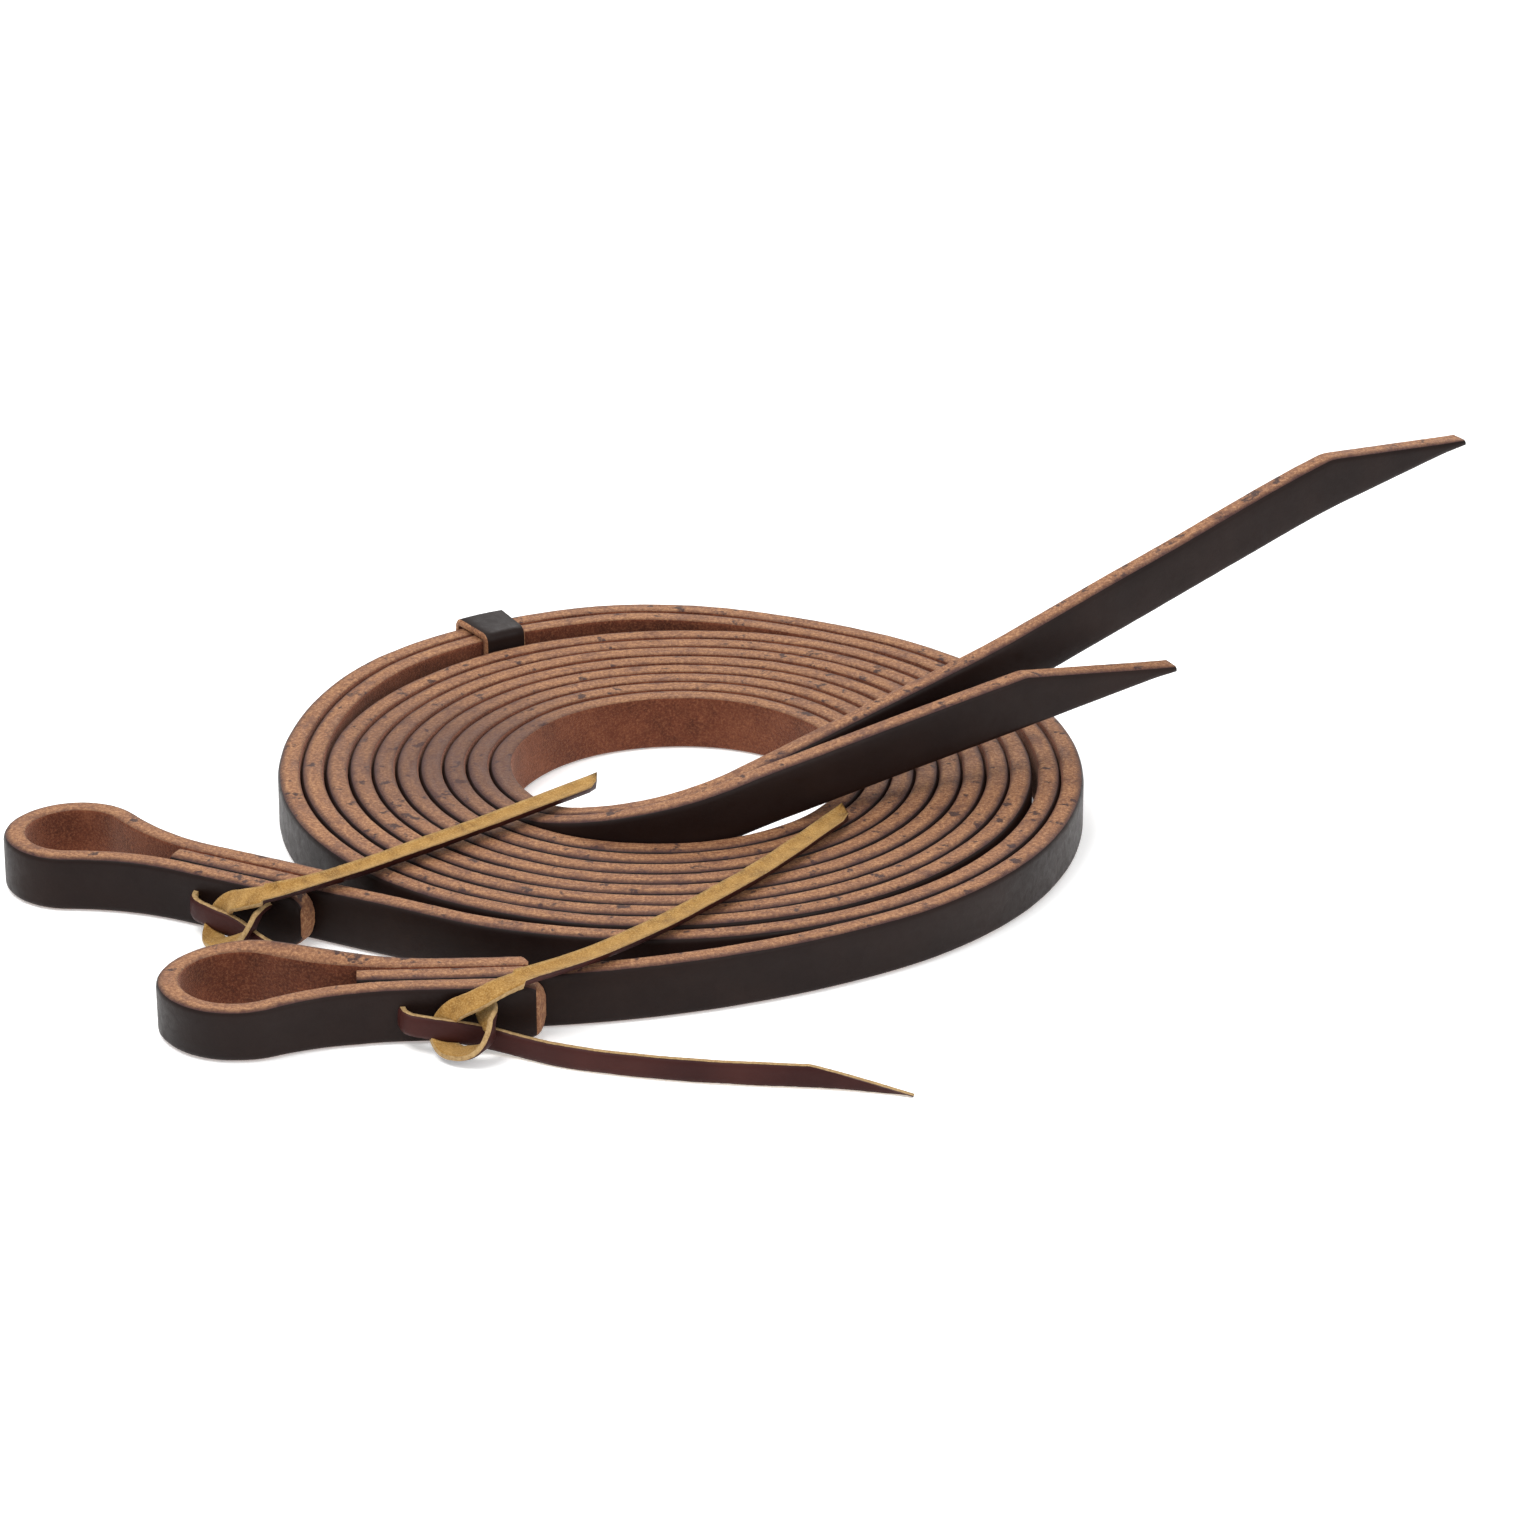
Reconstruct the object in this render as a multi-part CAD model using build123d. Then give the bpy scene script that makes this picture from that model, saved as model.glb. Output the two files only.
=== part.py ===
from build123d import *

import math
import os

# A pair of split reins with water-loop bit ends, coiled flat as a pair with the straps on edge.
# Units are millimetres. The origin is on the floor at the centre of the coil, with +Z up.
# X runs along the front of the coil and Y runs from the front to the back.
# Coil angles start at the front (-Y) and grow anticlockwise, as the reins wind inwards.

# Strap stock
STRAP_WIDTH = 12.7
STRAP_THICKNESS = 5.0
LAYER_GAP = 0.3

# Coil
COIL_RADIUS = 96.3
PAIR_PITCH = 2 * (STRAP_THICKNESS + LAYER_GAP)
KEEPER_ANGLE = 210.0
SLIDE_REACH = 12.0
LIFT_FLAT_ANGLE = 18.0
LIFT_FADE_ANGLE = 44.0
OUTER_TURN_BULGE = 1.1
INNER_TURN_SQUEEZE = (1.3, 1.1, 0.9, 0.7)
SETTLE_START_ANGLE = 90.0
SETTLE_END_ANGLE = 360.0
INNER_TURNS_SHIFT = (-0.3, 0.7)
INNER_TURNS_SHRINK = 0.6
CLIMB_START_ANGLE = 1755.0
SAMPLE_ANGLE = 15.0

# Bit ends: where each rein joins the coil, its bend and its straight length in the water loop
NEAR_JOIN_ANGLE = 33.0
NEAR_BEND_RADIUS = 170.0
NEAR_END_HEADING = 3.0
NEAR_STRAIGHT = 28.0
FAR_JOIN_ANGLE = 0.0
FAR_BEND_CLEARANCE = 3.7
FAR_BEND_RADIUS = COIL_RADIUS + FAR_BEND_CLEARANCE
FAR_END_HEADING = -27.0
FAR_STRAIGHT = 67.0

# Tails: leaving angle, how far before the climbing stretch the bottom edge starts to rise, and
# that edge's corners as X from the leaving point and Z above the coil's top
NEAR_LEAVE_ANGLE = 1825.6
NEAR_TAIL_LENGTH = 110.4
NEAR_RISE_LEAD = 0.34
NEAR_TAIL_RISE = ((3.26, -0.1), (123.26, 20.7))
FAR_LEAVE_ANGLE = 1830.4
FAR_TAIL_LENGTH = 201.0
FAR_RISE_LEAD = 0.09
FAR_TAIL_RISE = ((58.09, 12.9), (133.09, 38.3), (223.09, 59.3))
TAIL_FLAT_LENGTH = 30.0
TAIL_CUT_LENGTH = 38.0
TAIL_EDGE_BEND = 40.0
TAIL_TIP_HEIGHT = 1.5

# Water loops
NEAR_BIGHT_RADIUS = 14.4
FAR_BIGHT_RADIUS = 13.0
NEAR_BIGHT_DISTANCE = 25.0
FAR_BIGHT_DISTANCE = 26.4
LOOP_NECK_BEND = 60.0
NEAR_FRONT_FLAP = 39.5
NEAR_BACK_FLAP = 36.0
FAR_FRONT_FLAP = 36.8
FAR_BACK_FLAP = 34.0
FLAP_CORNER = 4.0

# Tie laces: flat latigo laces, kept here as round tubes of about the same section
LACE_DIAMETER = 3.2
LACE_HOLE = 5.0
HOLE_FROM_END = 9.2
HOLE_SPACING = 18.0

# Keeper
KEEPER_WALL = 1.6
KEEPER_CLEARANCE = 0.3
KEEPER_LENGTH = 11.5
KEEPER_CORNER = 1.2

# Lace routes, from the tip of the long end, through the knot, to the tip of the short end
NEAR_LACE_ROUTE = (
    (41.0, -29.0, 14.6),
    (24.0, -57.5, 14.8),
    (8.5, -78.0, 14.6),
    (-8.5, -98.0, 14.7),
    (-23.5, -111.0, 14.7),
    (-32.0, -116.5, 14.6),
    (-38.5, -119.5, 11.3),
    (-44.0, -117.0, 9.0),
    (-46.5, -117.0, 2.6),
    (-43.0, -123.5, 2.2),
    (-37.5, -123.5, 4.6),
    (-36.0, -117.0, 6.8),
    (-36.5, -107.0, 6.2),
    (-37.5, -96.5, 6.5),
    (-46.5, -95.5, 6.9),
    (-55.0, -97.5, 6.3),
    (-54.0, -107.5, 6.5),
    (-54.0, -118.0, 6.2),
    (-45.0, -121.0, 6.2),
    (-36.5, -119.5, 2.6),
    (-29.5, -122.5, 2.5),
    (-20.5, -126.5, 2.5),
    (-6.0, -130.6, 2.5),
    (9.0, -133.4, 2.5),
    (24.0, -134.9, 2.5),
    (38.0, -136.1, 2.5),
    (52.5, -139.3, 2.5),
)
FAR_LACE_ROUTE = (
    (-14.0, -15.0, 15.5),
    (-33.0, -33.0, 16.1),
    (-54.0, -50.0, 14.7),
    (-68.0, -62.5, 14.6),
    (-80.5, -71.0, 14.6),
    (-90.0, -69.5, 11.6),
    (-94.5, -64.5, 8.9),
    (-97.5, -63.5, 2.6),
    (-97.5, -70.0, 2.2),
    (-92.5, -73.0, 4.4),
    (-87.5, -69.0, 6.8),
    (-82.5, -59.5, 6.2),
    (-78.0, -50.0, 6.5),
    (-85.5, -45.0, 6.7),
    (-94.0, -42.0, 6.3),
    (-98.5, -51.5, 6.5),
    (-103.5, -60.5, 6.1),
    (-98.0, -67.0, 6.2),
    (-89.5, -69.5, 2.6),
    (-83.5, -74.5, 2.5),
    (-73.5, -81.0, 2.5),
    (-58.5, -88.5, 2.5),
    (-43.5, -92.5, 2.5),
    (-27.0, -95.5, 2.5),
)

STRAP_SPACING = STRAP_THICKNESS + LAYER_GAP
KEEPER_LIFT = KEEPER_WALL + KEEPER_CLEARANCE
TALL = 140.0


def window(angle):
    """1 beside the keeper, fading smoothly to 0 away from it."""
    away = abs((angle - KEEPER_ANGLE + 180.0) % 360.0 - 180.0)
    share = min(max((away - LIFT_FLAT_ANGLE) / LIFT_FADE_ANGLE, 0.0), 1.0)
    return math.cos(share * math.pi / 2) ** 2


def turn_shift(angle):
    """How far the pair stands out (+) or in (-) beside the keeper on each turn."""
    turn = int(angle // 360)
    if turn == 0:
        return OUTER_TURN_BULGE * window(angle)
    return -INNER_TURN_SQUEEZE[min(turn, len(INNER_TURN_SQUEEZE)) - 1] * window(angle)


def settled(angle):
    """0 on the first stretch of the outer turn, growing to 1 on the inner turns."""
    share = (angle - SETTLE_START_ANGLE) / (SETTLE_END_ANGLE - SETTLE_START_ANGLE)
    return min(max(share, 0.0), 1.0)


def coil_point(angle, side):
    """A point on a strap's centreline: side is +1 for the near rein and -1 for the far rein."""
    pair_radius = COIL_RADIUS - STRAP_THICKNESS - LAYER_GAP / 2 - PAIR_PITCH * angle / 360
    radius = pair_radius + side * STRAP_SPACING / 2 + turn_shift(angle) - INNER_TURNS_SHRINK * settled(angle)
    turn = math.radians(angle)
    centre = Vector(*INNER_TURNS_SHIFT) * settled(angle)
    return centre + Vector(radius * math.sin(turn), -radius * math.cos(turn))


def coil_heading(angle, side):
    """The direction of travel along a strap, in degrees from +X."""
    step = 0.5
    travel = coil_point(angle + step, side) - coil_point(angle - step, side)
    return math.degrees(math.atan2(travel.Y, travel.X))


def along(heading):
    return Vector(math.cos(math.radians(heading)), math.sin(math.radians(heading)))


def left_of(heading):
    return along(heading + 90)


def offset_point(angle, side, distance):
    """A coil point moved away from the coil's centre, square to the strap."""
    return coil_point(angle, side) - left_of(coil_heading(angle, side)) * distance


def coil_face(start, stop, side):
    """The plan of one strap between two coil angles."""
    count = math.ceil((stop - start) / SAMPLE_ANGLE)
    angles = [start + (stop - start) * i / count for i in range(count + 1)]
    ends = [along(coil_heading(start, side)), along(coil_heading(stop, side))]
    half = STRAP_THICKNESS / 2
    outer = Spline(*[offset_point(a, side, half) for a in angles], tangents=ends, tangent_scalars=(1, 1))
    inner = Spline(*[offset_point(a, side, -half) for a in angles], tangents=ends, tangent_scalars=(1, 1))
    first = Line(outer @ 0, inner @ 0)
    last = Line(outer @ 1, inner @ 1)
    return make_face([outer, last, inner, first])


def line_face(start, heading, length):
    """The plan of a straight strap that runs from start."""
    side = left_of(heading) * STRAP_THICKNESS / 2
    end = start + along(heading) * length
    return make_face(Polyline(start + side, start - side, end - side, end + side, close=True))


def arc_face(centre, radius, start_heading, stop_heading):
    """The plan of a strap that turns left about centre."""
    half = STRAP_THICKNESS / 2
    sweep = stop_heading - start_heading
    outer = CenterArc(centre, radius + half, start_heading - 90, sweep)
    inner = CenterArc(centre, radius - half, start_heading - 90, sweep)
    return make_face([outer, Line(outer @ 1, inner @ 1), inner, Line(outer @ 0, inner @ 0)])


def bit_end(join_angle, side, bend_radius, end_heading, straight):
    """Faces from the rein's cut end to the coil, and the cut end's place."""
    join_heading = coil_heading(join_angle, side)
    centre = coil_point(join_angle, side) + left_of(join_heading) * bend_radius
    bend_start = centre - left_of(end_heading) * bend_radius
    cut_end = bend_start - along(end_heading) * straight
    faces = [line_face(cut_end, end_heading, straight), arc_face(centre, bend_radius, end_heading, join_heading)]
    return faces, cut_end


def lifted_sector(side):
    """The outer turn beside the keeper, raised off the floor by the keeper's lower wall."""
    reach = LIFT_FLAT_ANGLE + LIFT_FADE_ANGLE
    face = coil_face(KEEPER_ANGLE - reach, KEEPER_ANGLE + reach, side)
    block = extrude(face, TALL)
    mid = coil_point(KEEPER_ANGLE, side)
    radius = mid.length
    flat = radius * math.sin(math.radians(LIFT_FLAT_ANGLE))
    end = radius * math.sin(math.radians(reach))
    knee = (flat + end) / 2
    low = [(-2 * end, 0), (-end, 0), (-knee, KEEPER_LIFT / 2), (-flat, KEEPER_LIFT)]
    points = low + [(-x, z) for x, z in reversed(low)]
    start, stop = Vector(*points[1]), Vector(*points[3])
    rise = Spline(start, stop, tangents=[(1, 0), (1, 0)])
    fall = rise.mirror(Plane.YZ)
    bottom = [Line(points[0], points[1]), rise, Line(points[3], points[4]), fall, Line(points[6], points[7])]
    top = [edge.moved(Location((0, STRAP_WIDTH))) for edge in bottom]
    ends = [Line(p, (p[0], p[1] + STRAP_WIDTH)) for p in (points[0], points[7])]
    heading = coil_heading(KEEPER_ANGLE, side)
    outward = left_of(heading) * -1
    view = Plane(origin=(0, 0, 0), x_dir=along(heading), z_dir=outward)
    band = extrude(view * make_face(bottom + top + ends), 2 * radius)
    return block & band


def side_band(edge, cut_length):
    """The side view of a rising tail: a band above its bottom edge, cut to a point at the tip."""
    points = [Vector(*p) for p in edge]
    headings = [math.degrees(math.atan2((b - a).Y, (b - a).X)) for a, b in zip(points, points[1:])]
    top = [points[0] + Vector(0, STRAP_WIDTH)]
    for corner, before, after in zip(points[1:], headings, headings[1:]):
        middle = (before + after) / 2
        stretch = STRAP_WIDTH / math.cos(math.radians((after - before) / 2))
        top.append(corner + left_of(middle) * stretch)
    direction = along(headings[-1])
    shoulder = points[-1] + left_of(headings[-1]) * STRAP_WIDTH - direction * cut_length
    tip = points[-1] + left_of(headings[-1]) * TAIL_TIP_HEIGHT
    lower = FilletPolyline(*points, radius=TAIL_EDGE_BEND + STRAP_WIDTH)
    upper = FilletPolyline(*top, shoulder, radius=TAIL_EDGE_BEND)
    ends = [Line(points[0], top[0]), Line(shoulder, tip), Line(tip, points[-1])]
    return make_face([lower, upper] + ends)


def tail(side, leave_angle, length, lead, rise):
    """The inner end, which climbs the coil's inner wall and leaves over the top."""
    turn = coil_face(CLIMB_START_ANGLE, leave_angle, side)
    leave = coil_point(leave_angle, side)
    heading = coil_heading(leave_angle, side)
    run = line_face(leave, heading, length + 2 * STRAP_WIDTH)
    block = extrude(turn, TALL) + extrude(run, TALL)
    tip_x = leave.X + length * math.cos(math.radians(heading))
    rise_x = coil_point(CLIMB_START_ANGLE, side).X - lead
    flat = [(rise_x - TAIL_FLAT_LENGTH, 0.0), (rise_x, 0.0)]
    edge = flat + [(leave.X + x, STRAP_WIDTH + z) for x, z in rise]
    below, last = edge[-2], edge[-1]
    slope = (last[1] - below[1]) / (last[0] - below[0])
    side_edge = edge[:-1] + [(tip_x, below[1] + slope * (tip_x - below[0]))]
    band = extrude(Plane.XZ * side_band(side_edge, TAIL_CUT_LENGTH * math.cos(math.radians(heading))), TALL, both=True)
    return block & band


def lace_holes(origin, heading):
    """The two lace holes through a bit end, in the rein and the water loop alike."""
    holes = []
    for place in (HOLE_FROM_END, HOLE_FROM_END + HOLE_SPACING):
        centre = origin + along(heading) * place
        axis = Plane(origin=(centre.X, centre.Y, STRAP_WIDTH / 2), z_dir=left_of(heading))
        holes.append(axis * Cylinder(LACE_HOLE / 2, 8 * STRAP_THICKNESS))
    return holes


def rein(side, join_angle, bit_faces, origin, heading, leave_angle, tail_length, lead, rise):
    """One rein, cut end to tail."""
    reach = LIFT_FLAT_ANGLE + LIFT_FADE_ANGLE
    faces = bit_faces + [
        coil_face(join_angle, KEEPER_ANGLE - reach, side),
        coil_face(KEEPER_ANGLE + reach, CLIMB_START_ANGLE, side),
    ]
    body = lifted_sector(side)
    for face in faces:
        body += extrude(face, STRAP_WIDTH)
    body += tail(side, leave_angle, tail_length, lead, rise)
    return body - lace_holes(origin, heading)


def water_loop(origin, heading, bight_radius, bight_distance, front_flap, back_flap):
    """A short strap folded round the bit, with the rein's end held between its two flaps."""
    leg = STRAP_SPACING
    bight = Vector(-bight_distance, 0)
    neck_y = leg + LOOP_NECK_BEND
    reach = math.sqrt((bight_radius + LOOP_NECK_BEND) ** 2 - neck_y**2)
    neck = Vector(bight.X + reach, neck_y)
    slope = math.degrees(math.atan2(neck_y, reach))
    half = STRAP_THICKNESS / 2

    def outline(shift):
        round_bight = CenterArc(bight, bight_radius + shift, slope, 360 - 2 * slope)
        back_neck = CenterArc(neck, LOOP_NECK_BEND - shift, slope + 180, 90 - slope)
        front_neck = CenterArc((neck.X, -neck.Y), LOOP_NECK_BEND - shift, 90, 90 - slope)
        back_leg = Line((neck.X, leg + shift), (back_flap, leg + shift))
        front_leg = Line((neck.X, -leg - shift), (front_flap, -leg - shift))
        return [back_leg, back_neck, round_bight, front_neck, front_leg]

    outer = outline(half)
    inner = outline(-half)
    ends = [
        Line((front_flap, -leg - half), (front_flap, -leg + half)),
        Line((back_flap, leg - half), (back_flap, leg + half)),
    ]
    loop = extrude(make_face(outer + inner + ends), STRAP_WIDTH)
    corners = [
        e for e in loop.edges().filter_by(Axis.Y)
        if abs(e.center().X - front_flap) < LAYER_GAP
    ]
    loop = fillet(corners, FLAP_CORNER)
    place = Plane(origin=(origin.X, origin.Y, 0), x_dir=along(heading), z_dir=(0, 0, 1))
    return place * loop - lace_holes(origin, heading)


def keeper():
    """A leather loop round the outer pair, curved like the pair so that it slides along it."""
    heading = coil_heading(KEEPER_ANGLE, 0)
    middle = coil_point(KEEPER_ANGLE, 0)
    radius = middle.length
    centre = middle + left_of(heading) * radius
    half_turn = math.degrees(KEEPER_LENGTH / 2 / radius)
    slot_depth = 2 * STRAP_THICKNESS + LAYER_GAP + 2 * KEEPER_CLEARANCE
    slot_height = STRAP_WIDTH + 2 * KEEPER_CLEARANCE
    outside = RectangleRounded(slot_depth + 2 * KEEPER_WALL, slot_height + 2 * KEEPER_WALL, KEEPER_CORNER)
    section = outside - Rectangle(slot_depth, slot_height)
    start = heading - half_turn
    place = centre - left_of(start) * radius + Vector(0, 0, slot_height / 2 + KEEPER_WALL)
    axis = Axis((centre.X, centre.Y, 0), (0, 0, 1))
    profile = Plane(origin=place, x_dir=left_of(start) * -1, z_dir=along(start) * -1) * section
    print("keeper turns about", centre, "radius", round(radius, 2))
    print("keeper slides", round(math.degrees(SLIDE_REACH / radius), 2), "degrees each way")
    return revolve(profile, axis, 2 * half_turn)


def lace(route):
    """A lace as a round tube: straight runs joined by the largest arcs that they allow."""
    points = [Vector(*p) for p in route]
    radii = []
    for before, corner, after in zip(points, points[1:], points[2:]):
        half_turn = math.radians((corner - before).get_angle(after - corner)) / 2
        shorter = min((corner - before).length, (after - corner).length)
        radii.append(0.45 * shorter / math.tan(half_turn))
    path = FilletPolyline(*points, radius=radii)
    tube = sweep(Plane(path ^ 0) * Circle(LACE_DIAMETER / 2), path=path)
    section = math.pi * LACE_DIAMETER**2 / 4
    print("lace", round(path.length, 1), "long, volume share", round(tube.volume / (section * path.length), 4))
    print("  radii", [round(r, 1) for r in radii])
    return tube


near_faces, near_origin = bit_end(NEAR_JOIN_ANGLE, 1, NEAR_BEND_RADIUS, NEAR_END_HEADING, NEAR_STRAIGHT)
far_faces, far_origin = bit_end(FAR_JOIN_ANGLE, -1, FAR_BEND_RADIUS, FAR_END_HEADING, FAR_STRAIGHT)
print("bit ends at", near_origin, far_origin)

parts = {
    "rein_near": rein(1, NEAR_JOIN_ANGLE, near_faces, near_origin, NEAR_END_HEADING,
                      NEAR_LEAVE_ANGLE, NEAR_TAIL_LENGTH, NEAR_RISE_LEAD, NEAR_TAIL_RISE),
    "rein_far": rein(-1, FAR_JOIN_ANGLE, far_faces, far_origin, FAR_END_HEADING,
                     FAR_LEAVE_ANGLE, FAR_TAIL_LENGTH, FAR_RISE_LEAD, FAR_TAIL_RISE),
    "water_loop_near": water_loop(near_origin, NEAR_END_HEADING, NEAR_BIGHT_RADIUS, NEAR_BIGHT_DISTANCE,
                                  NEAR_FRONT_FLAP, NEAR_BACK_FLAP),
    "water_loop_far": water_loop(far_origin, FAR_END_HEADING, FAR_BIGHT_RADIUS, FAR_BIGHT_DISTANCE,
                                 FAR_FRONT_FLAP, FAR_BACK_FLAP),
    "keeper": keeper(),
    "lace_near": lace(NEAR_LACE_ROUTE),
    "lace_far": lace(FAR_LACE_ROUTE),
}

os.makedirs("parts", exist_ok=True)
for name, shape in parts.items():
    export_step(shape, f"parts/{name}.step")
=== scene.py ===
import math
from typing import NamedTuple

import bmesh
import bpy
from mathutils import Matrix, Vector, noise


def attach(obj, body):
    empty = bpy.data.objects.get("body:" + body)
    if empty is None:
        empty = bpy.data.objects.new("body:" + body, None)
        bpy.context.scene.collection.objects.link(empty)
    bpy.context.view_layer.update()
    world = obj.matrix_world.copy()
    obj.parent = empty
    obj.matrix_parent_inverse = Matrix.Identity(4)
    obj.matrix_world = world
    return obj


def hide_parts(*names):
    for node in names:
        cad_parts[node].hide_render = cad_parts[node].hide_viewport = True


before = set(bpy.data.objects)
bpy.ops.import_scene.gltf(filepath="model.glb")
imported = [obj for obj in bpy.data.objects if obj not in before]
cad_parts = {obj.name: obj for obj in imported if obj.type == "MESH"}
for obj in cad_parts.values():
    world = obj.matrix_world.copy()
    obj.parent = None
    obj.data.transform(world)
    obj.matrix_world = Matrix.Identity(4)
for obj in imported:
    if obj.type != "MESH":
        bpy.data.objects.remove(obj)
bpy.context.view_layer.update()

# Lengths are millimetres, scaled to metres where meshes, curves, lights and cameras are made.
MM = 0.001

# Strap stock
STRAP_WIDTH = 12.7
STRAP_THICKNESS = 5.0
LAYER_GAP = 0.3
GRAIN_BEVEL = 1.45
FLESH_BEVEL = 1.0
STATION_STEP = 1.3

# Coil
COIL_RADIUS = 96.3
PAIR_PITCH = 2 * (STRAP_THICKNESS + LAYER_GAP)
STRAP_SPACING = STRAP_THICKNESS + LAYER_GAP
KEEPER_ANGLE = 210.0
KEEPER_LIFT = 1.9
LIFT_FLAT_ANGLE = 18.0
LIFT_FADE_ANGLE = 44.0
OUTER_TURN_BULGE = 1.1
INNER_TURN_SQUEEZE = (1.3, 1.1, 0.9, 0.7)
SETTLE_START_ANGLE = 90.0
SETTLE_END_ANGLE = 360.0
INNER_TURNS_SHIFT = (-0.3, 0.7, 0.0)
INNER_TURNS_SHRINK = 0.6
CLIMB_START_ANGLE = 1755.0

# Bit ends: where each rein joins the coil, its bend and its straight length in the water loop
NEAR_JOIN_ANGLE = 33.0
NEAR_BEND_RADIUS = 170.0
NEAR_END_HEADING = 3.0
NEAR_STRAIGHT = 28.0
FAR_JOIN_ANGLE = 0.0
FAR_BEND_RADIUS = 100.0
FAR_END_HEADING = -27.0
FAR_STRAIGHT = 67.0

# Tails: leaving angle, length, and the corners of the bottom edge's side view as X, Z
NEAR_LEAVE_ANGLE = 1825.6
NEAR_TAIL_LENGTH = 110.4
NEAR_TAIL_EDGE = ((-60, 0), (-30, 0), (20, 12.6), (140, 33.4))
FAR_LEAVE_ANGLE = 1830.4
FAR_TAIL_LENGTH = 201.0
FAR_TAIL_EDGE = ((-60, 0), (-26, 0), (75, 25.6), (150, 51), (240, 72))
TAIL_CUT_LENGTH = 38.0
TAIL_TIP_HEIGHT = 1.5
TAIL_BLEND = 6.4

# Water loops: the bight, the flaps and their pared ends, and how the near one leans and twists
NEAR_BIGHT_RADIUS = 14.4
NEAR_BIGHT_DISTANCE = 25.0
FAR_BIGHT_RADIUS = 13.0
FAR_BIGHT_DISTANCE = 26.4
LOOP_NECK_BEND = 60.0
NEAR_FRONT_FLAP = 39.5
NEAR_BACK_FLAP = 36.0
FAR_FRONT_FLAP = 36.8
FAR_BACK_FLAP = 34.0
FLAP_CORNER = 4.5
FLAP_TIP_INSET = 4.2
NEAR_FLAP_SKIVE = 1.6
FAR_FLAP_SKIVE = 0.4
FLAP_SKIVE_DEPTH = 3.6
FLAP_STEP = 0.5
NEAR_LOOP_LEAN = 2.2
NEAR_LOOP_TWIST = 1.9
TWIST_CENTRE = -11.0
TWIST_REACH = 28.0

# Leather's unevenness: each pair is how large it is and how quickly it changes along the piece
SLOW_SWAY = (0.14, 0.03)
QUICK_SWAY = (0.05, 0.16)
EDGE_RISE = (0.16, 0.045)
EDGE_NICK = (0.05, 0.5)
LACE_WIDTH_SWAY = (0.07, 0.09)
LACE_CUP_SWAY = (0.35, 0.05)
LACE_FRAY = (0.06, 0.8)

# Laces: the long end lies on the coil, and the short end comes out of the knot
NEAR_LONG_END = 112.0
FAR_LONG_END = 92.0
LACE_COLUMNS = 7
LACE_RIM_SHARE = 0.95
LACE_RIM_WIDTH = 0.98
LACE_WIDTH = 5.0
LACE_THICKNESS = 1.5
LACE_FLESH_RIM = 0.65
LONG_END_GRAIN_RIM = 0.35
SHORT_END_GRAIN_RIM = -0.45
LONG_END_CUP = 0.85
SHORT_END_CUP = 0.15
LONG_END_CUT = 5.0
SHORT_END_CUT = 22.0

# Keeper
KEEPER_WALL = 1.6
KEEPER_CLEARANCE = 0.3
KEEPER_LENGTH = 11.5

# Camera
CAMERA_PLACE = (22.5, -1242.4, 564.9)
CAMERA_PITCH = 24.0
CAMERA_LENS = 141.1
CAMERA_SENSOR = 36.0
CAMERA_REACH = 20.0

# Studio, in metres: the floor's faint glow keeps its shadows pale
FLOOR_HALF_WIDTH = 6.0
FLOOR_DROP = 0.0002
FLOOR_GLOW = 0.3
WORLD_STRENGTH = 0.7

# Darkest spot on the strap edges, on the left of the coil's eye
EYE_DARKENING_PLACE = (-42.0, 4.0, 12.0)


# ---- camera, floor and lights ----

def make_camera():
    data = bpy.data.cameras.new("camera")
    data.lens = CAMERA_LENS
    data.sensor_width = CAMERA_SENSOR
    data.clip_end = CAMERA_REACH
    camera = bpy.data.objects.new("camera", data)
    camera.location = Vector(CAMERA_PLACE) * MM
    camera.rotation_euler = (math.radians(90 - CAMERA_PITCH), 0, 0)
    bpy.context.collection.objects.link(camera)
    bpy.context.scene.camera = camera


def make_area_light(name, place, size, power, target=(0, 0, 0)):
    data = bpy.data.lights.new(name, "AREA")
    data.shape = "DISK"
    data.size = size
    data.energy = power
    light = bpy.data.objects.new(name, data)
    light.location = place
    direction = Vector(target) - Vector(place)
    light.rotation_euler = direction.to_track_quat("-Z", "Y").to_euler()
    bpy.context.collection.objects.link(light)


def make_studio():
    floor_mesh = bpy.data.meshes.new("floor")
    half = FLOOR_HALF_WIDTH
    corners = [(-half, -half, 0), (half, -half, 0), (half, half, 0), (-half, half, 0)]
    floor_mesh.from_pydata(corners, [], [(0, 1, 2, 3)])
    floor = bpy.data.objects.new("floor", floor_mesh)
    floor.location.z = -FLOOR_DROP
    bpy.context.collection.objects.link(floor)
    floor_mesh.materials.append(floor_material())
    make_area_light("key", (-0.5, -0.4, 1.3), 0.8, 12)
    make_area_light("fill", (0.9, -0.9, 0.8), 0.8, 5)
    make_area_light("back", (0.2, 1.1, 1.0), 1.0, 9)
    world = bpy.data.worlds.new("studio")
    world.use_nodes = True
    world.node_tree.nodes["Background"].inputs["Color"].default_value = (1, 1, 1, 1)
    world.node_tree.nodes["Background"].inputs["Strength"].default_value = WORLD_STRENGTH
    bpy.context.scene.world = world
    bpy.context.scene.view_settings.view_transform = "Standard"


# ---- materials ----

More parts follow.
